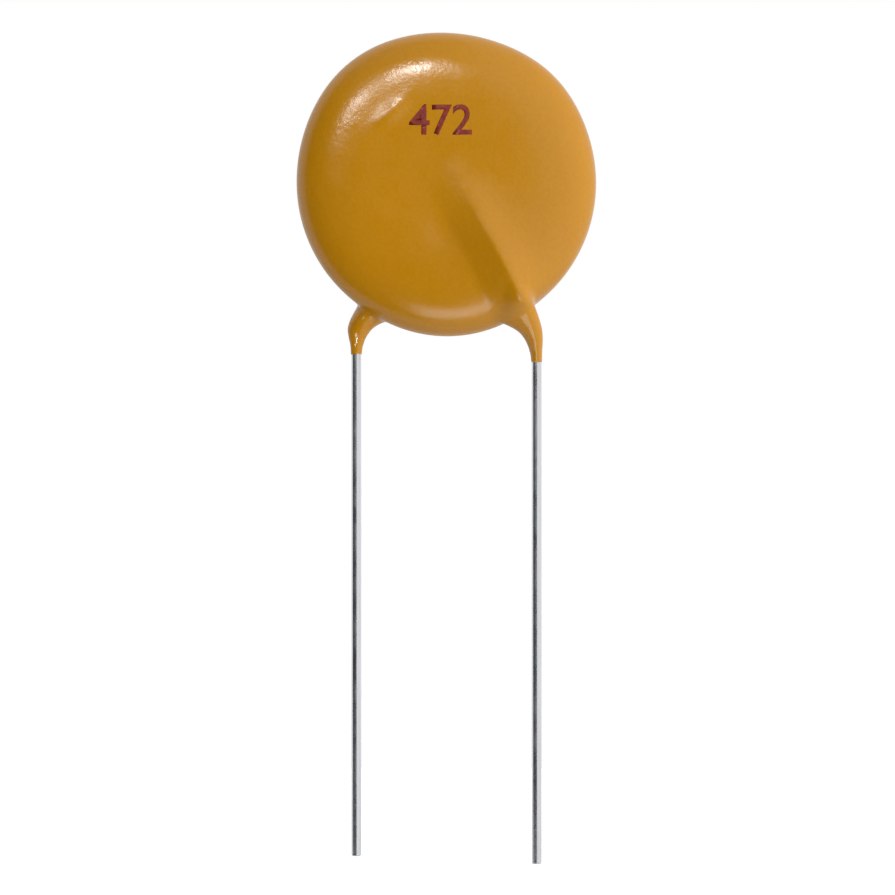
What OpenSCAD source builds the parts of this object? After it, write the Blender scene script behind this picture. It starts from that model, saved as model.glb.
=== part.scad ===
// Radial ceramic disc capacitor: a metallised ceramic disc between two soldered wires,
// dipped in epoxy. The disc stands on edge and faces -Y, and the wires hang down.
// The origin is midway between the two straight legs, level with the front foot's end.

/* [Leads] */
// Distance between the two straight legs, centre to centre
lead_pitch = 10; // [7.5:0.5:12.5]
// Diameter of the tinned copper wire
wire_d = 0.55; // [0.45:0.05:0.8]
// Bare length of each leg below the coating
bare_leg = 27.85; // [5:0.05:40]
// Chamfer on the cut end of each wire
cut_chamfer = 0.06; // [0.02:0.02:0.15]
// Height over the foot's end at which a wire starts to bend
foot_bend_start = 0.05; // [0:0.01:0.1]
// Height over the foot's end of the corner that this bend rounds
foot_corner_rise = 0.45; // [0.3:0.05:0.7]
// How far in from the leg's axis the wire reaches the disc's face
face_corner_in = 0.45; // [0:0.05:1]
// Distance from that second corner up to the ceramic's rim
face_corner_drop = 1; // [0.8:0.05:1.4]
// Centre-line radius of the bend at the second corner
face_bend_r = 2; // [1:0.1:2.6]
// Distance from the disc's centre at which a slanted wire passes it
pass_by = 0.55; // [0:0.05:1.2]
// How far a slanted wire runs on past the centre's height
overrun = 1.3; // [0.4:0.1:2.5]

/* [Ceramic] */
// Diameter of the ceramic disc
disc_d = 14.4; // [11:0.1:18]
// Thickness of the ceramic disc
disc_t = 2; // [1:0.1:3.2]
// Chamfer round both edges of the ceramic disc
disc_chamfer = 0.15; // [0.05:0.05:0.3]
// Bare ceramic left round each electrode
edge_margin = 0.6; // [0.3:0.1:1.5]
// Thickness of the fired silver electrodes
electrode_t = 0.05; // [0.03:0.01:0.1]

/* [Solder] */
// Length of the solder mound along the wire
solder_len = 7; // [5:0.1:7.5]
// Solder that has run on past the wire's end
solder_past_end = 1; // [0.8:0.1:1.4]
// Half the width of the solder mound
solder_half_w = 1.1; // [1:0.05:1.5]
// Solder left over the top of the wire
solder_cover = 0.12; // [0.05:0.01:0.25]
// Solder left between the wire and the electrode
solder_bed = 0.04; // [0.02:0.01:0.1]

/* [Coating] */
// Epoxy round the ceramic disc's rim
rim_cover = 1.1; // [0.8:0.05:2]
// Epoxy over each electrode, midway out
face_cover = 1.1; // [0.8:0.05:1.6]
// How square the coated rim is: 2 is an ellipse, and more is flatter with a rounder edge
rim_power = 5.5; // [4.5:0.1:8]
// Gap under the coated disc, down to the front foot's end
stand_off = 1.6; // [1.2:0.1:3]
// Height of the back foot's end over the front foot's
foot_step = 0.44; // [0:0.02:0.6]
// Epoxy heaped over each slanted wire
ridge_h = 0.65; // [0.2:0.05:0.9]
// Reach of that ridge's steep side, below the wire
ridge_below = 0.7; // [0.6:0.05:1.2]
// Reach of its gentle side, above the wire
ridge_above = 1.4; // [1:0.1:2]
// Depth to which the epoxy has sunk beside the steep side
hollow_depth = 0.16; // [0:0.02:0.2]
// Epoxy outside the front wire where its foot is fullest
front_bulge = 0.2; // [0.1:0.02:0.4]
// Epoxy outside the back wire where its foot is fullest
back_bulge = 0.36; // [0.1:0.02:0.4]
// Epoxy web from each foot in towards the disc's underside
foot_web = 1.5; // [0.9:0.05:1.8]
// Thickness of the coating where it ends on the wire
foot_lip = 0.04; // [0.03:0.01:0.1]

/* [Hidden] */

wire_r = wire_d / 2;
knuckle_swell = 1.01;
disc_r = disc_d / 2;
coat_r = disc_r + rim_cover;
centre_z = stand_off + coat_r;
electrode_y = disc_t / 2 + electrode_t;
wire_y = electrode_y + solder_bed + wire_r;
face_y = electrode_y + face_cover;

// Each wire is a line with two rounded corners: one in the foot, where it leaves the leg's
// axis, and one in front of the ceramic's rim, where it comes to lie along the face.
// `step` is how far the wire's foot ends above the front one's.
face_corner_x = lead_pitch / 2 - face_corner_in;
ceramic_low_z = centre_z - sqrt(disc_r * disc_r - face_corner_x * face_corner_x);
face_corner = [face_corner_x, -wire_y, ceramic_low_z - face_corner_drop];
function foot_corner(step) = [lead_pitch / 2, 0, foot_corner_rise + step];
face_run = [pass_by, -wire_y, centre_z] - face_corner;
face_way = face_run / norm(face_run);
face_length = norm(face_run) + overrun;
wire_end = face_corner + face_length * face_way;
function climb(step) = face_corner - foot_corner(step);

// The coordinates of `way` after a turn by `angle` about the vertical, and by `tilt` about Y
function turned(way, angle) = [
  way[0] * cos(angle) + way[1] * sin(angle), way[1] * cos(angle) - way[0] * sin(angle), way[2]
];
function tilted(way, tilt) = [
  way[0] * cos(tilt) - way[2] * sin(tilt), way[1], way[2] * cos(tilt) + way[0] * sin(tilt)
];
function heading(way) = atan2(way[1], way[0]);
function lean(way) = acos(way[2] / norm(way));
function seen_after(way, bend) = turned(tilted(turned(way, heading(bend)), lean(bend)), -heading(bend));
function bend_setback(radius, way) = radius * tan(lean(way) / 2);
foot_setback = foot_corner_rise - foot_bend_start;
function foot_bend_r(step) = foot_setback / tan(lean(climb(step)) / 2);

// The wire's axis at height z, with its corners eased
corner_ease = 0.45;
function axis_at(z, step) =
  z < foot_corner(step)[2] ? foot_corner(step)
    : z < face_corner[2] ? foot_corner(step) + climb(step) * (z - foot_corner(step)[2]) / climb(step)[2]
      : face_corner + face_way * (z - face_corner[2]) / face_way[2];
function wire_axis(z, step) = (
    axis_at(z - corner_ease, step) + 2 * axis_at(z, step) + axis_at(z + corner_ease, step)
  ) / 4;

// The dip leaves the outline a little out of round: [direction, extra radius, spread]
lobes = [[128, 0.3, 30], [45, 0.13, 20], [272, 0.18, 32]];
function turn_between(a, b) = abs((a - b + 540) % 360 - 180);
function lobe(a, l) = l[1] * exp(-pow(turn_between(a, l[0]) / l[2], 2));
function outline_r(a) = coat_r + lobe(a, lobes[0]) + lobe(a, lobes[1]) + lobe(a, lobes[2]);

// Rings of the coated disc, from near the middle of one face to the rim and back
face_rings = 18;
rim_sides = 96;
function ring_share(k) = sin(90 * min(k, 2 * face_rings - k) / face_rings);
function swell(share) = sqrt(max(0, 1 - pow(share, rim_power)));

// The ridge over a slanted wire, steep below the wire and gentle above it. It is highest at the
// rim, and sinks into the face towards the wire's end.
ridge_foot = [face_corner[0], face_corner[2]];
ridge_run = [wire_end[0], wire_end[2]] - ridge_foot;
ridge_reach = norm(ridge_run);
ridge_way = ridge_run / ridge_reach;
ridge_side = [ridge_way[1], -ridge_way[0]];
ridge_fade = 1.6;
ridge_spread = 0.5;
function rounded_peak(gap) = exp(1 - sqrt(1 + 2 * gap * gap));
function ridge(p) = let (
    along = (p - ridge_foot) * ridge_way,
    above = (p - ridge_foot) * ridge_side,
    share = max(0, min(1, along / ridge_reach)),
    past = along - share * ridge_reach,
    width = above > 0 ? ridge_above * (1 + ridge_spread * share) : ridge_below,
    gap = norm([above / width, past / ridge_below])
  ) ridge_h * (1 - pow(share, ridge_fade)) * rounded_peak(gap);

// The shallow hollow beside it: how far up the wire and how far below it, then its reach each way
hollow_place = [3.2, 1.5];
hollow_reach = [2.5, 1.05];
function hollow(p) = let (
    along = (p - ridge_foot) * ridge_way - hollow_place[0],
    above = (p - ridge_foot) * ridge_side + hollow_place[1],
    gap = norm([along / hollow_reach[0], above / hollow_reach[1]])
  ) hollow_depth * exp(-gap * gap);

// Height of the skin over the disc's middle plane: the front has its wire on +X, the back on -X
function skin_y(x, z, share, side) =
  face_y * swell(share) + (ridge([side * x, z]) - hollow([side * x, z])) * sqrt(swell(share));
function skin_point(k, a) = let (
    share = ring_share(k),
    x = share * outline_r(a) * cos(a),
    z = centre_z + share * outline_r(a) * sin(a),
    side = k < face_rings ? 1 : -1
  ) [x, -side * skin_y(x, z, share, side), z];

// The root of the coating on one wire, in level sections from the foot's lip upwards. Each is
// [height over the foot's end, share of the bulge outside the wire, share of the web inside,
// cover in front of the wire, cover behind it]. A section is four quarters of ellipses round the
// wire, and the two over the web are pinched towards its inner edge.
root_sections = [
  [0, 0, 0, 0, 0],
  [0.35, 0.05, 0.01, 0.02, 0.02],
  [0.7, 0.25, 0.05, 0.05, 0.05],
  [1.05, 0.6, 0.11, 0.1, 0.1],
  [1.4, 0.9, 0.22, 0.15, 0.2],
  [1.75, 1, 0.38, 0.19, 0.35],
  [2.1, 0.95, 0.68, 0.22, 0.5],
  [2.5, 0.7, 0.88, 0.24, 0.65],
  [2.9, 0.3, 0.75, 0.25, 0.75],
  [3.3, 0, 0.55, 0.24, 0.8],
  [3.9, 0.1, 0.3, 0.2, 0.75],
  [4.6, 0.3, 0.2, 0.15, 0.6],
  [5.2, 0.3, 0.15, 0.1, 0.4]
];
root_top = root_sections[len(root_sections) - 1][0];
root_sides = 24;
web_pinch = 1.2;
function pinched(y, web) = y * pow(abs(y), web_pinch * web);
function root_point(s, a, step, bulge) = let (
    z = s[0] + step * (1 - s[0] / root_top),
    axis = wire_axis(z, step),
    outside = wire_r + foot_lip + s[1] * bulge,
    inside = wire_r + foot_lip + s[2] * foot_web,
    before = wire_r + foot_lip + s[3],
    behind = wire_r + foot_lip + s[4]
  ) [
    axis[0] + (cos(a) > 0 ? outside : inside) * cos(a),
    axis[1] + (sin(a) > 0 ? behind : before) * pinched(sin(a), cos(a) > 0 ? 0 : s[2]),
    z
  ];

// A closed skin over rings of equal length, drawn in to the middle of the first and the last.
// Seen from the last ring, each ring runs anticlockwise.
function middle(ring) = [for (p = ring) 1 / len(ring)] * ring;
module ring_skin(rings) {
  sides = len(rings[0]);
  last = (len(rings) - 1) * sides;
  start_pole = last + sides;
  end_pole = start_pole + 1;
  polyhedron(
    points = concat([for (r = rings) each r], [middle(rings[0]), middle(rings[len(rings) - 1])]),
    faces = [for (j = [0:sides - 1]) let (k = (j + 1) % sides) each [
      [start_pole, j, k],
      for (row = [0:sides:last - sides]) each [
        [row + j, row + k + sides, row + k],
        [row + j, row + j + sides, row + k + sides]
      ],
      [end_pole, last + k, last + j]
    ]]
  );
}

// A length of wire along +Z, with what follows at its far end
module straight_wire(length) {
  cylinder(r = wire_r, h = length, $fn = 48);
  translate([0, 0, length]) children();
}

// The cut end of a wire: a short cone, widening or narrowing along +Z
module cut_end(from, to) {
  cylinder(r1 = from, r2 = to, h = cut_chamfer, $fn = 48);
  translate([0, 0, cut_chamfer]) children();
}

// A bend from +Z to the direction `way`, with what follows at its far end.
// A knuckle a hair proud of the wire joins it to the lengths on both sides.
module wire_bend(radius, way) {
  rotate([0, 0, heading(way)]) {
    knuckle();
    translate([radius, 0, 0]) rotate([90, 0, 180])
      rotate_extrude(angle = lean(way), $fn = 96) translate([radius, 0]) circle(r = wire_r, $fn = 48);
    translate([radius, 0, 0]) rotate([0, lean(way), 0]) translate([-radius, 0, 0]) {
      knuckle();
      rotate([0, 0, -heading(way)]) children();
    }
  }
}

module knuckle() {
  sphere(r = wire_r * knuckle_swell, $fn = 48);
}

// One formed wire, on the +X side and the front face
module formed_wire(step) {
  tip_r = wire_r - cut_chamfer;
  to_climb = climb(step);
  to_face = seen_after(face_way, to_climb);
  face_setback = bend_setback(face_bend_r, to_face);
  translate([lead_pitch / 2, 0, step - bare_leg])
    cut_end(tip_r, wire_r)
      straight_wire(bare_leg + foot_bend_start - cut_chamfer)
        wire_bend(foot_bend_r(step), to_climb)
          straight_wire(norm(to_climb) - foot_setback - face_setback)
            wire_bend(face_bend_r, to_face)
              straight_wire(face_length - face_setback - cut_chamfer)
                cut_end(wire_r, tip_r);
}

// The solder mound is a spindle sunk in the electrode's plane, so that it stands out as a low
// crowned strip with feathered edges. Its radius at t, which is 0 in the middle and 1 at the ends:
mound_crest = solder_bed + wire_d + solder_cover;
mound_arc_r = (mound_crest * mound_crest + solder_half_w * solder_half_w) / (2 * mound_crest);
mound_squareness = 8;
mound_run_out = 1.05;
mound_steps = 10;
function mound_r(t) = max(0.02, mound_arc_r - mound_crest * pow(abs(t), mound_squareness));

// The mound stands on +Z, with its wire running from the origin along -X
module mound() {
  half_len = solder_len / 2;
  stations = [for (i = [-mound_steps:mound_steps]) mound_run_out * sin(90 * i / mound_steps)];
  profile = [for (t = stations) [mound_r(t), half_len * t]];
  difference() {
    translate([solder_past_end - half_len, 0, mound_crest - mound_arc_r]) rotate([0, 90, 0])
      rotate_extrude($fn = 96)
        polygon(concat([[0, -half_len * mound_run_out]], profile, [[0, half_len * mound_run_out]]));
    translate([-2 * solder_len, -2 * mound_arc_r, -3 * mound_arc_r])
      cube([3 * solder_len, 4 * mound_arc_r, 3 * mound_arc_r]);
  }
}

// The mound in its place on the front electrode, along the slanted wire
module placed_mound() {
  translate([wire_end[0], -electrode_y, wire_end[2]]) rotate([90, 0, 0])
    rotate([0, 0, atan2(face_way[2], face_way[0])]) mound();
}

// Turns what is built on the front face round to the back one
module on_back() {
  rotate([0, 0, 180]) children();
}

module ceramic_disc() {
  half_t = disc_t / 2;
  inner_r = disc_r - disc_chamfer;
  color([0.62, 0.5, 0.4])
    translate([0, 0, centre_z]) rotate([90, 0, 0]) rotate_extrude($fn = 144)
      polygon([
        [0, -half_t],
        [inner_r, -half_t],
        [disc_r, disc_chamfer - half_t],
        [disc_r, half_t - disc_chamfer],
        [inner_r, half_t],
        [0, half_t]
      ]);
}

module electrode() {
  translate([0, -disc_t / 2, centre_z]) rotate([90, 0, 0])
    cylinder(r = disc_r - edge_margin, h = electrode_t, $fn = 144);
}

module front_electrode() {
  color([0.85, 0.85, 0.83]) electrode();
}

module back_electrode() {
  color([0.85, 0.85, 0.83]) on_back() electrode();
}

module front_solder_joint() {
  color([0.72, 0.73, 0.75]) difference() {
    placed_mound();
    formed_wire(0);
  }
}

module back_solder_joint() {
  color([0.72, 0.73, 0.75]) on_back() difference() {
    placed_mound();
    formed_wire(foot_step);
  }
}

module front_lead() {
  color([0.78, 0.79, 0.81]) formed_wire(0);
}

module back_lead() {
  color([0.78, 0.79, 0.81]) on_back() formed_wire(foot_step);
}

// The coated disc: rings across the front face, round the rim and across the back face
module coated_disc() {
  ring_skin([for (k = [1:2 * face_rings - 1])
    [for (j = [0:rim_sides - 1]) skin_point(k, -360 * j / rim_sides)]]);
}

// The coating's root on one wire, on the +X side and the front face
module coated_root(step, bulge) {
  ring_skin([for (s = root_sections)
    [for (j = [0:root_sides - 1]) root_point(s, 360 * j / root_sides, step, bulge)]]);
}

module epoxy_coating() {
  color([0.74, 0.51, 0.1]) difference() {
    union() {
      coated_disc();
      coated_root(0, front_bulge);
      on_back() coated_root(foot_step, back_bulge);
    }
    ceramic_disc();
    electrode();
    on_back() electrode();
    placed_mound();
    on_back() placed_mound();
    formed_wire(0);
    on_back() formed_wire(foot_step);
  }
}

ceramic_disc();
front_electrode();
back_electrode();
front_solder_joint();
back_solder_joint();
front_lead();
back_lead();
epoxy_coating();
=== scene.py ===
import math

import bmesh
import bpy
import numpy as np
from bpy.props import FloatProperty, FloatVectorProperty, PointerProperty, StringProperty
from mathutils import Matrix, Vector
from mathutils.bvhtree import BVHTree


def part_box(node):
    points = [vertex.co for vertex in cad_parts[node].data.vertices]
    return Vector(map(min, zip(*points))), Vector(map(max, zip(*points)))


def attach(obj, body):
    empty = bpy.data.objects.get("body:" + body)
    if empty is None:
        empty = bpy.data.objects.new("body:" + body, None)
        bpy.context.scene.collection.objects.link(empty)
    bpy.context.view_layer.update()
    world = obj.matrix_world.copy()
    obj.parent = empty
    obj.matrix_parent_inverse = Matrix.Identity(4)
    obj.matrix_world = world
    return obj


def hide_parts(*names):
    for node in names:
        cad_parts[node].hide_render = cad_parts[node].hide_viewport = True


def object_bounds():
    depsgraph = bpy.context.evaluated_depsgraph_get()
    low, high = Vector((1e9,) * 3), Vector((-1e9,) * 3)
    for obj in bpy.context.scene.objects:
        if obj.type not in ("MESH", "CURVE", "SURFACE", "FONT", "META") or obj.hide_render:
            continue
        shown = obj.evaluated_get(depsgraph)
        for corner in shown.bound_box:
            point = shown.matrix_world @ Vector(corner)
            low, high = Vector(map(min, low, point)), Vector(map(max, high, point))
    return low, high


bl_info = {
    "name": "Ceramic Disc Capacitor",
    "version": (1, 0, 0),
    "blender": (4, 5, 0),
    "location": "View3D > Sidebar > Capacitor",
    "description": "Dipped coating, wires, inner stack and printed digits of a disc capacitor",
    "category": "Object",
}

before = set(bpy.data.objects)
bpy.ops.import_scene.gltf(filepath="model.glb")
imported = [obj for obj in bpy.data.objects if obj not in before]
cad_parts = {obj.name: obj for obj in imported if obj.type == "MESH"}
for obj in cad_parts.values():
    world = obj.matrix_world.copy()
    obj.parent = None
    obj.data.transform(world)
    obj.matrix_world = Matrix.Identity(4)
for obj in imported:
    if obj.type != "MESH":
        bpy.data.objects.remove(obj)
CAD_BOX = [list(corner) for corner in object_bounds()]

MM = 0.001


def node_box(name):
    """Lowest and highest corner of a CAD node, in millimetres."""
    low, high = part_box(name)
    return np.array(low) / MM, np.array(high) / MM


DISC_LOW, DISC_HIGH = node_box("ceramic_disc")
FRONT_LOW, FRONT_HIGH = node_box("front_lead")
BACK_LOW = node_box("back_lead")[0]

# The disc's middle, the wires' radius, the distance between the legs, how far the back foot ends
# above the front one, and how far a slanted wire lies in front of the middle plane
CENTRE_Z = float(DISC_LOW[2] + DISC_HIGH[2]) / 2
WIRE_R = float(FRONT_HIGH[1])
PITCH = float(FRONT_HIGH[0] - BACK_LOW[0]) - 2 * WIRE_R
FOOT_STEP = float(BACK_LOW[2] - FRONT_LOW[2])
WIRE_Y = -float(FRONT_LOW[1]) - WIRE_R


# ---------------------------------------------------------------- settings

def length(name, default, description, **more):
    return FloatProperty(name=name, default=default, description=description, **more)


def colour(name, default, description):
    return FloatVectorProperty(
        name=name, default=default, description=description, subtype="COLOR", size=3, min=0, max=1
    )


class CoatSettings(bpy.types.PropertyGroup):
    radius: length("Radius", 8.3, "Radius of the coated disc, in millimetres")
    half_thickness: length("Half thickness", 2.15, "Middle plane to a coated face, in millimetres")
    rim_power: length("Rim squareness", 5.5, "2 is an ellipse, more is flatter out to the edge")
    ridge_height: length("Ridge height", 1.16, "Epoxy over a wire by the rim, in millimetres")
    ridge_width_below: length("Ridge width below", 1.72, "Reach of its steep side, in millimetres")
    ridge_width_above: length("Ridge width above", 1.3, "Reach of its gentle side, in millimetres")
    front_bulge: length("Front bulge", 0.24, "Epoxy outside the front wire's foot, in millimetres")
    back_bulge: length("Back bulge", 0.42, "Epoxy outside the back wire's foot, in millimetres")
    crest_lean: length(
        "Crest lean", 1.0, "How much a root's crest leans to the disc's middle", subtype="FACTOR"
    )
    foot_web: length("Foot web", 1.5, "Epoxy web from a foot in to the disc, in millimetres")
    voxel: length("Voxel", 0.1, "Cell size of the remeshed skin, in millimetres")
    colour: colour("Colour", (0.50, 0.215, 0.003), "Ochre of the epoxy")
    roughness: length("Roughness", 0.22, "Roughness of the cured skin", subtype="FACTOR")


class MarkSettings(bpy.types.PropertyGroup):
    digits: StringProperty(
        name="Digits", default="472", description="Plain digits on the front face"
    )
    height: length("Height", 1.7, "Height of the digits, in millimetres")
    x: length("Across", -0.33, "Middle of the mark across the face, in millimetres")
    z: length("Up", 13.3, "Middle of the mark above the feet, in millimetres")
    film: length("Film", 0.012, "Thickness of the ink, in millimetres")
    colour: colour("Ink", (0.215, 0.013, 0.003), "Dark red-brown ink")


class MetalSettings(bpy.types.PropertyGroup):
    wire: colour("Wire", (0.82, 0.84, 0.87), "Tin on the wires")
    solder: colour("Solder", (0.56, 0.57, 0.6), "Solder over the wires")
    silver: colour("Silver", (0.8, 0.79, 0.76), "Fired silver on the ceramic")
    ceramic: colour("Ceramic", (0.32, 0.2, 0.12), "Sintered ceramic")


class StageSettings(bpy.types.PropertyGroup):
    lens: length("Lens", 200.0, "Focal length of the camera, in millimetres")
    field: length("Field", 49.64, "Width of the picture at the wires, in millimetres")
    aim_x: length("Aim across", 0.058, "Middle of the picture across, in millimetres")
    aim_z: length("Aim up", -4.742, "Middle of the picture above the feet, in millimetres")
    elevation: length("Elevation", 0.0, "Camera above the horizon, in degrees")
    floor_drop: length("Floor drop", 4.0, "Floor below the wires' ends, in millimetres")


# ---------------------------------------------------------------- shaping helpers

def deselect():
    """Leaves edit mode and clears the selection."""
    if bpy.context.object and bpy.context.object.mode != "OBJECT":
        bpy.ops.object.mode_set(mode="OBJECT")
    bpy.ops.object.select_all(action="DESELECT")


def only(piece):
    """Makes one piece the selected and active one."""
    deselect()
    piece.select_set(True)
    bpy.context.view_layer.objects.active = piece


def points_of(piece):
    flat = np.empty(len(piece.data.vertices) * 3)
    piece.data.vertices.foreach_get("co", flat)
    return flat.reshape(-1, 3)


def place_points(piece, points):
    piece.data.vertices.foreach_set("co", np.asarray(points, float).ravel())
    piece.data.update()


def select_faces(piece, wanted):
    """In edit mode, selects just the faces for which wanted(face) holds."""
    bpy.ops.mesh.select_mode(type="FACE")
    bpy.ops.mesh.select_all(action="DESELECT")
    form = bmesh.from_edit_mesh(piece.data)
    for face in form.faces:
        face.select_set(bool(wanted(face)))
    bmesh.update_edit_mesh(piece.data)


def apply_modifier(piece, kind, name, **values):
    only(piece)
    modifier = piece.modifiers.new(name, kind)
    for key, value in values.items():
        setattr(modifier, key, value)
    bpy.ops.object.modifier_apply(modifier=modifier.name)


def finish_piece(piece, name, material, slot, *nodes):
    """Scales a piece's mesh from millimetres to metres, names and paints it, and hands it over."""
    only(piece)
    bpy.ops.object.transform_apply(location=True, rotation=True, scale=True)
    piece.data.transform(Matrix.Scale(MM, 4))
    piece.name = piece.data.name = name
    piece.data.materials.clear()
    piece.data.materials.append(material)
    piece.data.polygons.foreach_set("use_smooth", [True] * len(piece.data.polygons))
    piece.data.update()
    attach(piece, "root")
    if nodes:
        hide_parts(*nodes)
    return piece


# ---------------------------------------------------------------- the coating's form

# A wire as a line with two corners: one in the foot and one in front of the disc's rim
FOOT_CORNER_RISE = 0.45
FACE_CORNER = np.array([PITCH / 2 - 0.45, -WIRE_Y, 3.32])
PASS_BY = 0.55
FACE_RUN = np.array([PASS_BY, -WIRE_Y, CENTRE_Z]) - FACE_CORNER
FACE_WAY = FACE_RUN / np.linalg.norm(FACE_RUN)
CORNER_EASE = 0.45

# Height over the foot's end, then shares of the outside bulge and of the inside web, then the
# cover in front of the wire and behind it, and how far inside the wire the crest runs
ROOT_SECTIONS = np.array([
    [-0.06, 0.0, 0.0, 0.0, 0.0, 0.0],
    [0.0, 0.02, 0.0, 0.02, 0.0, 0.0],
    [0.35, 0.05, 0.01, 0.15, 0.01, 0.0],
    [0.7, 0.25, 0.05, 0.23, 0.05, 0.0],
    [1.05, 0.6, 0.11, 0.27, 0.1, 0.02],
    [1.4, 0.9, 0.22, 0.3, 0.24, 0.06],
    [1.75, 1.0, 0.42, 0.31, 0.5, 0.12],
    [2.05, 0.95, 0.9, 0.33, 0.75, 0.19],
    [2.4, 0.7, 1.15, 0.33, 0.85, 0.26],
    [2.9, 0.3, 1.05, 0.3, 0.85, 0.33],
    [3.3, 0.0, 0.95, 0.25, 0.8, 0.35],
    [3.9, 0.1, 0.75, 0.2, 0.75, 0.32],
    [4.6, 0.3, 0.4, 0.2, 0.6, 0.26],
    [5.2, 0.3, 0.25, 0.1, 0.4, 0.2],
])
# Cover where the coating ends on the wire, and how sharply the web narrows inwards
LIP = 0.035
WEB_PINCH = 1.2
ROOT_ROWS = 60
ROOT_SIDES = 48


def axis_at(z, step):
    """Where the sharp-cornered line of a wire is at height z, for the wire on +X."""
    foot = np.array([PITCH / 2, 0, FOOT_CORNER_RISE + step])
    if z < foot[2]:
        return foot
    if z < FACE_CORNER[2]:
        return foot + (FACE_CORNER - foot) * (z - foot[2]) / (FACE_CORNER[2] - foot[2])
    return FACE_CORNER + FACE_WAY * (z - FACE_CORNER[2]) / FACE_WAY[2]


def wire_axis(z, step):
    """The same line with its corners eased."""
    eased = axis_at(z - CORNER_EASE, step) + 2 * axis_at(z, step) + axis_at(z + CORNER_EASE, step)
    return eased / 4


def smooth_sections(rows):
    """The root's sections blended to more rows, with no corner where two meet."""
    heights = np.linspace(ROOT_SECTIONS[0, 0], ROOT_SECTIONS[-1, 0], rows)
    shares = [np.interp(heights, ROOT_SECTIONS[:, 0], column) for column in ROOT_SECTIONS.T[1:]]
    kernel = np.array([1, 4, 6, 4, 1]) / 16
    eased = [np.convolve(np.pad(s, 2, mode="edge"), kernel, mode="valid") for s in shares]
    return heights, np.array(eased).T


def coating_root(coat, step, bulge, side):
    """The coating's root on one wire, extruded up row by row from a disc and then shaped."""
    deselect()
    bpy.ops.mesh.primitive_circle_add(vertices=ROOT_SIDES, radius=1, fill_type="NGON")
    root = bpy.context.object
    bpy.ops.object.mode_set(mode="EDIT")
    for _ in range(ROOT_ROWS - 1):
        bpy.ops.mesh.extrude_region_move(TRANSFORM_OT_translate={"value": (0, 0, 1)})
    bpy.ops.mesh.select_all(action="SELECT")
    bpy.ops.mesh.normals_make_consistent(inside=False)
    bpy.ops.object.mode_set(mode="OBJECT")
    heights, shares = smooth_sections(ROOT_ROWS)
    placed = []
    for x, y, row in points_of(root):
        k = int(round(row))
        bulge_share, web_share, before, behind, lean = shares[k]
        z = heights[k] + step * (1 - heights[k] / heights[-1])
        axis = wire_axis(z, step)
        lean *= coat.crest_lean
        outside = WIRE_R + LIP + bulge_share * bulge + lean
        inside = WIRE_R + LIP + web_share * coat.foot_web - lean
        before += WIRE_R + LIP
        behind += WIRE_R + LIP
        if x < 0:
            y *= abs(y) ** (WEB_PINCH * web_share)
        placed.append([
            axis[0] - lean + x * (outside if x > 0 else inside),
            axis[1] + y * (behind if y > 0 else before),
            z,
        ])
    placed = np.array(placed) * [side, side, 1]
    place_points(root, placed)
    return root


# Extra radius of the outline: direction, height and spread
LOBES = [(128, 0.3, 30), (45, 0.13, 20), (272, 0.18, 32)]

DISC_SIDES = 192
FACE_RINGS = 34
RIM_ROWS = 16


def turn_between(a, b):
    return np.abs((a - b + 540) % 360 - 180)


# The furthest share that is searched, and how often the search halves what is left
FURTHEST_SHARE = 3.0
HALVINGS = 40


def profile_share(out, along, power):
    """How far a line from the middle runs before it meets the rounded profile."""
    low, high = np.zeros_like(out), np.full_like(out, FURTHEST_SHARE)
    for _ in range(HALVINGS):
        middle = (low + high) / 2
        inside = (middle * along) ** 2 + (middle * out) ** power < 1
        low, high = np.where(inside, middle, low), np.where(inside, high, middle)
    return (low + high) / 2


# The crest of the epoxy heaped over a slanted wire, from the rim to where it fades, how its height
# falls on the way, how its gentle side narrows, and how its height fades towards the disc's rim
RIDGE_FOOT = np.array([4.2, 3.32])
RIDGE_TOP = np.array([-0.1, 11.3])
RIDGE_FALL = 1.15
GENTLE_NARROWING = 0.3
RIM_FADE = 1.15
# The steep side's even slope: where along the crest it narrows, by how much, and how softly it
# meets the face
STEEP_FROM, STEEP_TO = 0.05, 0.45
STEEP_NARROWING = 0.08
BASE_SOFTNESS = 0.02


def ridge(x, z, coat):
    """Height of the epoxy over the slanted wire: steep below it near the rim, gentle above it."""
    run = RIDGE_TOP - RIDGE_FOOT
    reach = np.linalg.norm(run)
    run /= reach
    along = (x - RIDGE_FOOT[0]) * run[0] + (z - RIDGE_FOOT[1]) * run[1]
    above = (x - RIDGE_FOOT[0]) * run[1] - (z - RIDGE_FOOT[1]) * run[0]
    share = np.clip(along / reach, 0, 1)
    past = (along - share * reach) / coat.ridge_width_below
    gentle = np.hypot(above / (coat.ridge_width_above * (1 - GENTLE_NARROWING * share)), past)
    narrowing = STEEP_NARROWING * np.clip((share - STEEP_FROM) / (STEEP_TO - STEEP_FROM), 0, 1)
    steep = np.hypot(above / (coat.ridge_width_below * (1 - narrowing)), past)
    full = 1 + math.sqrt(1 + BASE_SOFTNESS)
    down = np.where(
        above > 0,
        np.exp(1 - np.sqrt(1 + 2 * gentle * gentle)),
        (1 - steep + np.sqrt((1 - steep) ** 2 + BASE_SOFTNESS)) / full,
    )
    return coat.ridge_height * (1 - share) ** RIDGE_FALL * down


# A shallow hollow that the wet epoxy drew in, and a low swell: x, z, depth, reach along and
# across, turn
HOLLOWS = [
    (-0.1, 7.1, 0.1, 1.2, 1.0, 118),
    (-3.1, 13.65, -0.12, 1.2, 0.5, 40),
]


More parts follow.
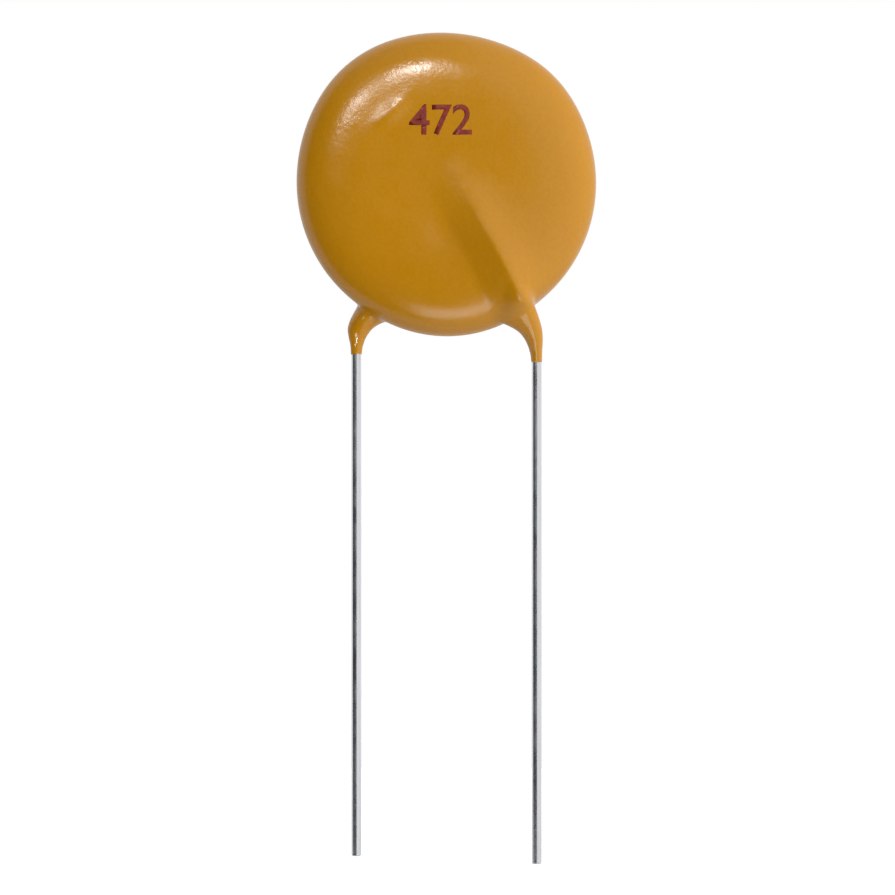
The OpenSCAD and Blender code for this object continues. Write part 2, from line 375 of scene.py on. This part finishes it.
def hollow(x, z):
    depth = np.zeros_like(x)
    for cx, cz, deep, along, across, turn in HOLLOWS:
        c, s = math.cos(math.radians(turn)), math.sin(math.radians(turn))
        u = ((x - cx) * c + (z - cz) * s) / along
        v = ((z - cz) * c - (x - cx) * s) / across
        depth += deep * np.exp(-(u * u + v * v))
    return depth


def outline(angle, coat):
    """Radius of the coated disc in each direction."""
    radius = np.full_like(angle, coat.radius)
    for way, extra, spread in LOBES:
        radius += extra * np.exp(-(turn_between(angle, way) / spread) ** 2)
    return radius


def on_profile(points, coat):
    """The nearest points, on lines from the disc's middle, of its rounded profile."""
    x, y, z = points[:, 0], points[:, 1], points[:, 2] - CENTRE_Z
    angle = np.degrees(np.arctan2(z, x))
    scale = profile_share(
        np.hypot(x, z) / outline(angle, coat), np.abs(y) / coat.half_thickness, coat.rim_power
    )
    return np.stack([x * scale, y * scale, CENTRE_Z + z * scale], 1)


# Points further than this from the profile belong to a root: the reach, and where it fades
SETTLE_REACH = (0.04, 2.0)


def settle(skin, coat):
    """Brings the remeshed skin back on to the smooth profile, and leaves the roots alone."""
    points = points_of(skin)
    shift = on_profile(points, coat) - points
    share = np.clip(SETTLE_REACH[1] - np.linalg.norm(shift, axis=1) / SETTLE_REACH[0], 0, 1)
    place_points(skin, points + share[:, None] * shift)


def heap_ridges(skin, coat):
    """Lifts the remeshed faces over the two slanted wires and draws in the hollows beside them."""
    points = points_of(skin)
    side = np.where(points[:, 1] < 0, 1.0, -1.0)
    out = np.hypot(points[:, 0], points[:, 2] - CENTRE_Z) / coat.radius
    swell = np.sqrt(np.clip(1 - out ** coat.rim_power, 0, 1))
    x, z = side * points[:, 0], points[:, 2]
    lift = ridge(x, z, coat) - hollow(x, z)
    points[:, 1] -= side * lift * swell ** RIM_FADE
    place_points(skin, points)


def coated_disc(coat):
    """A cylinder whose ends are inset into rings and whose rim is cut into rows."""
    deselect()
    bpy.ops.mesh.primitive_cylinder_add(
        vertices=DISC_SIDES, radius=coat.radius, depth=2 * coat.half_thickness,
        end_fill_type="NGON", location=(0, 0, CENTRE_Z), rotation=(math.pi / 2, 0, 0),
    )
    disc = bpy.context.object
    bpy.ops.object.transform_apply(location=True, rotation=True, scale=True)
    bpy.ops.object.mode_set(mode="EDIT")
    bpy.ops.mesh.select_mode(type="EDGE")
    bpy.ops.mesh.select_all(action="DESELECT")
    form = bmesh.from_edit_mesh(disc.data)
    for edge in form.edges:
        edge.select_set(abs(edge.verts[0].co.y - edge.verts[1].co.y) > coat.half_thickness)
    bmesh.update_edit_mesh(disc.data)
    bpy.ops.mesh.subdivide_edgering(number_cuts=RIM_ROWS, smoothness=0)
    select_faces(disc, lambda face: len(face.verts) > 4)
    for _ in range(FACE_RINGS):
        bpy.ops.mesh.inset(thickness=coat.radius / (FACE_RINGS + 1), depth=0)
    bpy.ops.mesh.poke()
    bpy.ops.object.mode_set(mode="OBJECT")
    place_points(disc, on_profile(points_of(disc), coat))
    return disc


# Where a root meets the disc: the height on its wire, the reach around it and how far the
# smoothing goes, and the part of the foot over which it fades in
CROSSING_Z = 2.9
CROSSING_REACH = [2.6, 2.0, 1.9]
CROSSING_RANGE = 1.35
FOOT_LEFT_SHARP, FOOT_FADE = 0.4, 1.5


def near_roots(points):
    """1 close to where a root meets the disc, falling to 0 away from it and down the foot."""
    weight = np.zeros(len(points))
    for side, step in ((1, 0.0), (-1, FOOT_STEP)):
        middle = wire_axis(CROSSING_Z, step) * [side, side, 1]
        reach = np.linalg.norm((points - middle) / CROSSING_REACH, axis=1)
        above_foot = np.clip((points[:, 2] - step - FOOT_LEFT_SHARP) / FOOT_FADE, 0, 1)
        weight = np.maximum(weight, np.clip(CROSSING_RANGE - reach, 0, 1) * above_foot)
    return weight


# Passes of smoothing: over the whole skin, then at the crossings before and after the ridges
EASE_PASSES, FILLET_PASSES, CROSSING_PASSES = 6, 46, 20


def smooth(skin, name, passes, group=""):
    apply_modifier(skin, "SMOOTH", name, factor=0.5, iterations=passes, vertex_group=group)


def make_coating(coat):
    """The disc and both roots, joined, remeshed to one skin, smoothed and heaped into ridges."""
    disc = coated_disc(coat)
    front = coating_root(coat, 0.0, coat.front_bulge, 1)
    back = coating_root(coat, FOOT_STEP, coat.back_bulge, -1)
    only(disc)
    front.select_set(True)
    back.select_set(True)
    bpy.ops.object.join()
    apply_modifier(disc, "REMESH", "Skin", mode="VOXEL", voxel_size=coat.voxel, adaptivity=0.0)
    smooth(disc, "Ease", EASE_PASSES)
    settle(disc, coat)
    group = disc.vertex_groups.new(name="roots")
    for index, weight in enumerate(near_roots(points_of(disc))):
        if weight > 0:
            group.add([index], float(weight), "REPLACE")
    smooth(disc, "Fillets", FILLET_PASSES, "roots")
    heap_ridges(disc, coat)
    smooth(disc, "Crossing", CROSSING_PASSES, "roots")
    disc.vertex_groups.clear()
    return disc


# ---------------------------------------------------------------- finishes

class Finish:
    """A small builder of one procedural material on Object coordinates."""

    def __init__(self, name):
        self.material = bpy.data.materials.new(name)
        self.material.use_nodes = True
        self.tree = self.material.node_tree
        self.shader = self.tree.nodes["Principled BSDF"]
        self.place = self.tree.nodes.new("ShaderNodeTexCoord").outputs["Object"]

    def node(self, kind, **inputs):
        made = self.tree.nodes.new(kind)
        for key, value in inputs.items():
            made.inputs[key.replace("_", " ")].default_value = value
        return made

    def link(self, source, target):
        self.tree.links.new(source, target)

    def stretched(self, scale):
        made = self.node("ShaderNodeMapping", Scale=scale)
        self.link(self.place, made.inputs["Vector"])
        return made.outputs["Vector"]

    def noise(self, scale, detail=2.0, rough=0.5, where=None):
        made = self.node("ShaderNodeTexNoise", Scale=scale, Detail=detail, Roughness=rough)
        self.link(where or self.place, made.inputs["Vector"])
        return made.outputs["Fac"]

    def levels(self, source, low, high, to_low, to_high):
        made = self.node(
            "ShaderNodeMapRange", From_Min=low, From_Max=high, To_Min=to_low, To_Max=to_high
        )
        self.link(source, made.inputs["Value"])
        return made.outputs["Result"]

    def blend(self, share, first, second):
        """Mixes two colours by a share. Each of the three is a value or a socket."""
        made = self.tree.nodes.new("ShaderNodeMix")
        made.data_type = "RGBA"
        if isinstance(share, bpy.types.NodeSocket):
            self.link(share, made.inputs["Factor"])
        else:
            made.inputs["Factor"].default_value = share
        for socket, value in ((made.inputs[6], first), (made.inputs[7], second)):
            if isinstance(value, bpy.types.NodeSocket):
                self.link(value, socket)
            else:
                socket.default_value = (*value, 1)
        return made.outputs[2]

    def height(self):
        made = self.tree.nodes.new("ShaderNodeSeparateXYZ")
        self.link(self.place, made.inputs["Vector"])
        return made.outputs["Z"]

    def product(self, first, second):
        made = self.tree.nodes.new("ShaderNodeMath")
        made.operation = "MULTIPLY"
        self.link(first, made.inputs[0])
        self.link(second, made.inputs[1])
        return made.outputs[0]

    def bump(self, height, depth_mm, strength=1.0, under=None):
        made = self.node("ShaderNodeBump", Strength=strength, Distance=depth_mm * MM)
        self.link(height, made.inputs["Height"])
        if under:
            self.link(under, made.inputs["Normal"])
        return made.outputs["Normal"]


def scaled(colour, share):
    return tuple(min(1.0, c * share) for c in colour)


# Share of the face's roughness that the thin feet have and the heights between which it changes,
# and the share of the orange peel at the bottom and the heights between which that grows
FOOT_GLOSS = 0.75
GLOSS_HEIGHTS = (1.3 * MM, 1.9 * MM)
FOOT_PEEL = 0.2
PEEL_HEIGHTS = (1.3 * MM, 4 * MM)


def epoxy_finish(coat):
    """Glossy ochre epoxy: slow drifts of colour, fine grain, faint orange peel, glossier feet."""
    f = Finish("dipped_epoxy")
    base = tuple(coat.colour)
    drift = f.levels(f.noise(220, 3), 0.3, 0.7, 0, 1)
    grain = f.levels(f.noise(5200, 2), 0.35, 0.65, 0, 1)
    slow = f.blend(drift, scaled(base, 0.95), scaled(base, 1.05))
    fine = f.blend(grain, scaled(base, 0.94), scaled(base, 1.06))
    f.link(f.blend(0.5, slow, fine), f.shader.inputs["Base Color"])
    rough = coat.roughness
    face = f.levels(f.noise(900, 3), 0.3, 0.7, rough - 0.03, rough + 0.04)
    foot = f.levels(f.height(), *GLOSS_HEIGHTS, FOOT_GLOSS, 1)
    f.link(f.product(face, foot), f.shader.inputs["Roughness"])
    peel = f.bump(f.noise(1500, 1), 0.01)
    grit = f.bump(f.noise(5200, 2), 0.008, under=peel)
    fade = f.levels(f.height(), *PEEL_HEIGHTS, FOOT_PEEL, 1)
    for normal in (peel, grit):
        f.link(fade, normal.node.inputs["Strength"])
    f.link(grit, f.shader.inputs["Normal"])
    f.shader.inputs["IOR"].default_value = 1.5
    return f.material


def ink_finish(mark):
    """Matt ink, a little uneven where the pad left it thin."""
    f = Finish("printed_ink")
    ink = tuple(mark.colour)
    patch = f.levels(f.noise(4200, 3), 0.35, 0.65, 0, 1)
    f.link(f.blend(patch, scaled(ink, 0.7), scaled(ink, 1.15)), f.shader.inputs["Base Color"])
    f.link(f.levels(f.noise(3000), 0.3, 0.7, 0.34, 0.46), f.shader.inputs["Roughness"])
    f.link(f.bump(f.noise(6000, 2), 0.002), f.shader.inputs["Normal"])
    return f.material


def metal_finish(name, colour, roughness, along, across, depth_mm):
    """Metal with streaks drawn out along Z and a faint mottling."""
    f = Finish(name)
    streak = f.noise(1, 3, where=f.stretched((across, across, along)))
    mottle = f.noise(700, 3)
    tone = f.blend(f.levels(streak, 0.3, 0.7, 0, 1), scaled(colour, 0.94), scaled(colour, 1.03))
    f.link(tone, f.shader.inputs["Base Color"])
    rough = f.levels(mottle, 0.3, 0.7, roughness - 0.05, roughness + 0.07)
    f.link(rough, f.shader.inputs["Roughness"])
    f.link(f.bump(streak, depth_mm), f.shader.inputs["Normal"])
    f.shader.inputs["Metallic"].default_value = 1.0
    return f.material


def ceramic_finish(metal):
    """Sintered ceramic: matt, speckled and faintly pitted."""
    f = Finish("sintered_ceramic")
    base = tuple(metal.ceramic)
    speck = f.levels(f.noise(3800, 4, 0.6), 0.42, 0.58, 0, 1)
    f.link(f.blend(speck, scaled(base, 0.8), scaled(base, 1.2)), f.shader.inputs["Base Color"])
    f.link(f.levels(f.noise(1500), 0.3, 0.7, 0.6, 0.78), f.shader.inputs["Roughness"])
    f.link(f.bump(f.noise(6500, 3), 0.006), f.shader.inputs["Normal"])
    return f.material


def silver_finish(metal):
    """Fired silver: satin and slightly grainy."""
    f = Finish("fired_silver")
    base = tuple(metal.silver)
    grain = f.levels(f.noise(4500, 3), 0.35, 0.65, 0, 1)
    f.link(f.blend(grain, scaled(base, 0.9), scaled(base, 1.05)), f.shader.inputs["Base Color"])
    f.link(f.levels(f.noise(1800), 0.3, 0.7, 0.38, 0.5), f.shader.inputs["Roughness"])
    f.link(f.bump(f.noise(5200, 3), 0.003), f.shader.inputs["Normal"])
    f.shader.inputs["Metallic"].default_value = 1.0
    return f.material


def paint_node(name, material):
    """Gives a CAD node a better material, leaving its mesh alone."""
    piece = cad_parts[name]
    for slot in piece.material_slots:
        slot.material = material


# ---------------------------------------------------------------- operators

class CAPACITOR_OT_coating(bpy.types.Operator):
    """Build the dipped epoxy coating over the disc and the tops of the wires"""
    bl_idname = "capacitor.coating"
    bl_label = "Epoxy Coating"

    def execute(self, context):
        coat = context.scene.capacitor_coat
        piece = make_coating(coat)
        finish_piece(piece, "coating", epoxy_finish(coat), "epoxy", "epoxy_coating")
        return {"FINISHED"}


# How much the digits' strokes are thickened, the plane they start from in front of the coating,
# and the distance under which their points are merged
STROKE = 0.012
START_Y = -10
MERGE = 0.0005


class CAPACITOR_OT_mark(bpy.types.Operator):
    """Print plain digits on the coating's front face"""
    bl_idname = "capacitor.mark"
    bl_label = "Printed Digits"

    def execute(self, context):
        mark = context.scene.capacitor_mark
        deselect()
        bpy.ops.object.text_add(location=(0, 0, 0))
        word = context.object
        word.data.body = mark.digits
        word.data.align_x = "CENTER"
        word.data.align_y = "CENTER"
        word.data.size = 1.0
        word.data.offset = STROKE
        word.data.resolution_u = 8
        bpy.ops.object.convert(target="MESH")
        piece = context.object
        points = points_of(piece)
        middle = (points.min(0) + points.max(0)) / 2
        scale = mark.height / np.ptp(points[:, 1])
        across, up, out = ((points - middle) * scale).T
        place_points(piece, np.stack([across + mark.x, out + START_Y, up + mark.z], 1))
        bpy.ops.object.mode_set(mode="EDIT")
        bpy.ops.mesh.select_all(action="SELECT")
        bpy.ops.mesh.remove_doubles(threshold=MERGE)
        bpy.ops.mesh.quads_convert_to_tris()
        bpy.ops.mesh.subdivide(number_cuts=2)
        bpy.ops.object.mode_set(mode="OBJECT")
        face = bpy.data.objects["coating"]
        tree = BVHTree.FromPolygons(
            [v.co / MM for v in face.data.vertices], [p.vertices for p in face.data.polygons]
        )
        placed = points_of(piece)
        for point in placed:
            hit = tree.ray_cast(Vector(point), Vector((0, 1, 0)))[0]
            if hit is None:
                raise RuntimeError("the digits reach past the coating's face")
            point[1] = hit.y
        place_points(piece, placed)
        apply_modifier(piece, "SOLIDIFY", "Film", thickness=mark.film, offset=0.0)
        finish_piece(piece, "value_digits", ink_finish(mark), "epoxy")
        return {"FINISHED"}


class CAPACITOR_OT_leads(bpy.types.Operator):
    """Give the two wires their drawn tin finish"""
    bl_idname = "capacitor.leads"
    bl_label = "Wires"

    def execute(self, context):
        metal = context.scene.capacitor_metal
        tin = metal_finish(
            "drawn_tin", tuple(metal.wire), roughness=0.26, along=250, across=9000, depth_mm=0.001
        )
        paint_node("front_lead", tin)
        paint_node("back_lead", tin)
        return {"FINISHED"}


class CAPACITOR_OT_stack(bpy.types.Operator):
    """Finish the ceramic, its electrodes and the solder joints inside the coating"""
    bl_idname = "capacitor.stack"
    bl_label = "Ceramic Stack"

    def execute(self, context):
        metal = context.scene.capacitor_metal
        paint_node("ceramic_disc", ceramic_finish(metal))
        silver = silver_finish(metal)
        paint_node("front_electrode", silver)
        paint_node("back_electrode", silver)
        solder = metal_finish(
            "flowed_solder", tuple(metal.solder), roughness=0.34, along=900, across=1400,
            depth_mm=0.006,
        )
        paint_node("front_solder_joint", solder)
        paint_node("back_solder_joint", solder)
        return {"FINISHED"}


def aimed_lamp(name, azimuth, elevation, distance, width, height, power, mirrored, target):
    """A soft rectangular lamp turned towards a point. Azimuth 0 is in front, and 90 on +X."""
    a, e = math.radians(azimuth), math.radians(elevation)
    way = Vector((math.sin(a) * math.cos(e), -math.cos(a) * math.cos(e), math.sin(e)))
    deselect()
    bpy.ops.object.light_add(type="AREA", location=target + way * distance)
    lamp = bpy.context.object
    lamp.name = lamp.data.name = name
    lamp.data.shape = "RECTANGLE"
    lamp.data.size = width
    lamp.data.size_y = height
    lamp.data.energy = power
    lamp.rotation_euler = way.to_track_quat("Z", "Y").to_euler()
    lamp.visible_camera = False
    lamp.visible_glossy = mirrored
    return lamp


# The floor's radius and how far back its middle lies, in metres, its glow for the camera, and the
# width of the camera's sensor, in millimetres
FLOOR_RADIUS = 0.08
FLOOR_SHIFT = 0.065
FLOOR_GLOW = 0.6
SENSOR = 36.0

# name, azimuth, elevation, distance, width, height (m), power (W), and if shiny things mirror it
LAMPS = [
    ("key_lamp", -8, 31, 0.35, 0.034, 0.046, 0.32, True),
    ("side_key_lamp", -24, 21, 0.35, 0.065, 0.045, 0.19, True),
    ("right_fill", 75, 6, 0.5, 0.75, 0.75, 2.05, False),
    ("front_card", 2, -50, 0.4, 0.19, 0.15, 0.3, True),
]


# The dark of the studio, and its white sides: the axis that a direction is read on, where the
# white begins and where it is whole, and its strength
DARK_SIDE = 0.03
WHITE_SIDES = [
    ("X", 0.1, 0.17, 0.8),
    ("Y", -0.1, 0.2, 0.85),
    ("Z", 0.5, 0.95, 0.45),
]


def make_world(scene):
    """White to the camera. Other rays see a studio that is dark in front and on the left."""
    world = bpy.data.worlds.new("studio")
    scene.world = world
    world.use_nodes = True
    tree = world.node_tree
    nodes, links = tree.nodes, tree.links
    nodes.clear()
    where = nodes.new("ShaderNodeTexCoord")
    parts = nodes.new("ShaderNodeSeparateXYZ")
    links.new(where.outputs["Generated"], parts.inputs["Vector"])
    white = None
    for axis, begin, whole, strength in WHITE_SIDES:
        side = nodes.new("ShaderNodeMapRange")
        side.interpolation_type = "SMOOTHSTEP"
        side.inputs["From Min"].default_value = begin
        side.inputs["From Max"].default_value = whole
        side.inputs["To Min"].default_value = DARK_SIDE
        side.inputs["To Max"].default_value = strength
        links.new(parts.outputs[axis], side.inputs["Value"])
        if white is None:
            white = side.outputs["Result"]
            continue
        most = nodes.new("ShaderNodeMath")
        most.operation = "MAXIMUM"
        links.new(white, most.inputs[0])
        links.new(side.outputs["Result"], most.inputs[1])
        white = most.outputs[0]
    studio = nodes.new("ShaderNodeBackground")
    studio.inputs["Color"].default_value = (1, 1, 1, 1)
    links.new(white, studio.inputs["Strength"])
    backdrop = nodes.new("ShaderNodeBackground")
    backdrop.inputs["Color"].default_value = (1, 1, 1, 1)
    path = nodes.new("ShaderNodeLightPath")
    seen = nodes.new("ShaderNodeMath")
    seen.operation = "MAXIMUM"
    links.new(path.outputs["Is Camera Ray"], seen.inputs[0])
    links.new(path.outputs["Is Transmission Ray"], seen.inputs[1])
    pick = nodes.new("ShaderNodeMixShader")
    links.new(seen.outputs[0], pick.inputs[0])
    links.new(studio.outputs[0], pick.inputs[1])
    links.new(backdrop.outputs[0], pick.inputs[2])
    out = nodes.new("ShaderNodeOutputWorld")
    links.new(pick.outputs[0], out.inputs["Surface"])


def floor_finish():
    """Pale board, lifted to white where the camera sees it and still holding shadows."""
    f = Finish("pale_board")
    tone = f.levels(f.noise(30, 3), 0.3, 0.7, 0, 1)
    f.link(f.blend(tone, (0.72, 0.72, 0.72), (0.75, 0.75, 0.75)), f.shader.inputs["Base Color"])
    f.shader.inputs["Roughness"].default_value = 0.9
    glow = f.node("ShaderNodeEmission", Strength=FLOOR_GLOW)
    both = f.tree.nodes.new("ShaderNodeAddShader")
    f.link(f.shader.outputs[0], both.inputs[0])
    f.link(glow.outputs[0], both.inputs[1])
    path = f.tree.nodes.new("ShaderNodeLightPath")
    pick = f.tree.nodes.new("ShaderNodeMixShader")
    f.link(path.outputs["Is Camera Ray"], pick.inputs[0])
    f.link(f.shader.outputs[0], pick.inputs[1])
    f.link(both.outputs[0], pick.inputs[2])
    f.link(pick.outputs[0], f.tree.nodes["Material Output"].inputs["Surface"])
    return f.material


class CAPACITOR_OT_stage(bpy.types.Operator):
    """Set the pale floor, the soft lamps, the white surroundings and the camera"""
    bl_idname = "capacitor.stage"
    bl_label = "Stage"

    def execute(self, context):
        scene = context.scene
        stage = scene.capacitor_stage
        scene.view_settings.view_transform = "Standard"
        deselect()
        floor_z = CAD_BOX[0][2] - stage.floor_drop * MM
        bpy.ops.mesh.primitive_circle_add(
            vertices=96, radius=FLOOR_RADIUS, fill_type="NGON", location=(0, FLOOR_SHIFT, floor_z)
        )
        floor = context.object
        floor.name = "floor"
        floor.data.materials.append(floor_finish())
        make_world(scene)
        target = Vector((0, 0, CENTRE_Z * MM))
        for lamp in LAMPS:
            aimed_lamp(*lamp, target)
        e = math.radians(stage.elevation)
        way = Vector((0, -math.cos(e), math.sin(e)))
        aim = Vector((stage.aim_x, 0, stage.aim_z)) * MM
        distance = stage.field * stage.lens / SENSOR * MM
        deselect()
        bpy.ops.object.camera_add(location=aim + way * distance)
        camera = context.object
        camera.data.sensor_width = SENSOR
        camera.data.lens = stage.lens
        camera.data.clip_start = 0.01
        camera.rotation_euler = way.to_track_quat("Z", "Y").to_euler()
        scene.camera = camera
        return {"FINISHED"}


class CAPACITOR_PT_panel(bpy.types.Panel):
    """The capacitor's pieces in the 3D view's sidebar"""
    bl_idname = "CAPACITOR_PT_panel"
    bl_label = "Ceramic Disc Capacitor"
    bl_space_type = "VIEW_3D"
    bl_region_type = "UI"
    bl_category = "Capacitor"

    def draw(self, context):
        for operator in OPERATORS:
            self.layout.operator(operator.bl_idname)
        for name in SETTINGS:
            group = getattr(context.scene, name)
            for key in group.__annotations__:
                self.layout.prop(group, key)


OPERATORS = (
    CAPACITOR_OT_coating,
    CAPACITOR_OT_mark,
    CAPACITOR_OT_leads,
    CAPACITOR_OT_stack,
    CAPACITOR_OT_stage,
)
SETTINGS = {
    "capacitor_coat": CoatSettings,
    "capacitor_mark": MarkSettings,
    "capacitor_metal": MetalSettings,
    "capacitor_stage": StageSettings,
}


def register():
    for made in (*SETTINGS.values(), *OPERATORS, CAPACITOR_PT_panel):
        bpy.utils.register_class(made)
    for name, group in SETTINGS.items():
        setattr(bpy.types.Scene, name, PointerProperty(type=group))


def unregister():
    for name in SETTINGS:
        delattr(bpy.types.Scene, name)
    for made in reversed((*SETTINGS.values(), *OPERATORS, CAPACITOR_PT_panel)):
        bpy.utils.unregister_class(made)


def main():
    register()
    bpy.ops.capacitor.coating()
    bpy.ops.capacitor.mark()
    bpy.ops.capacitor.leads()
    bpy.ops.capacitor.stack()
    bpy.ops.capacitor.stage()
    deselect()


if __name__ == "__main__":
    main()
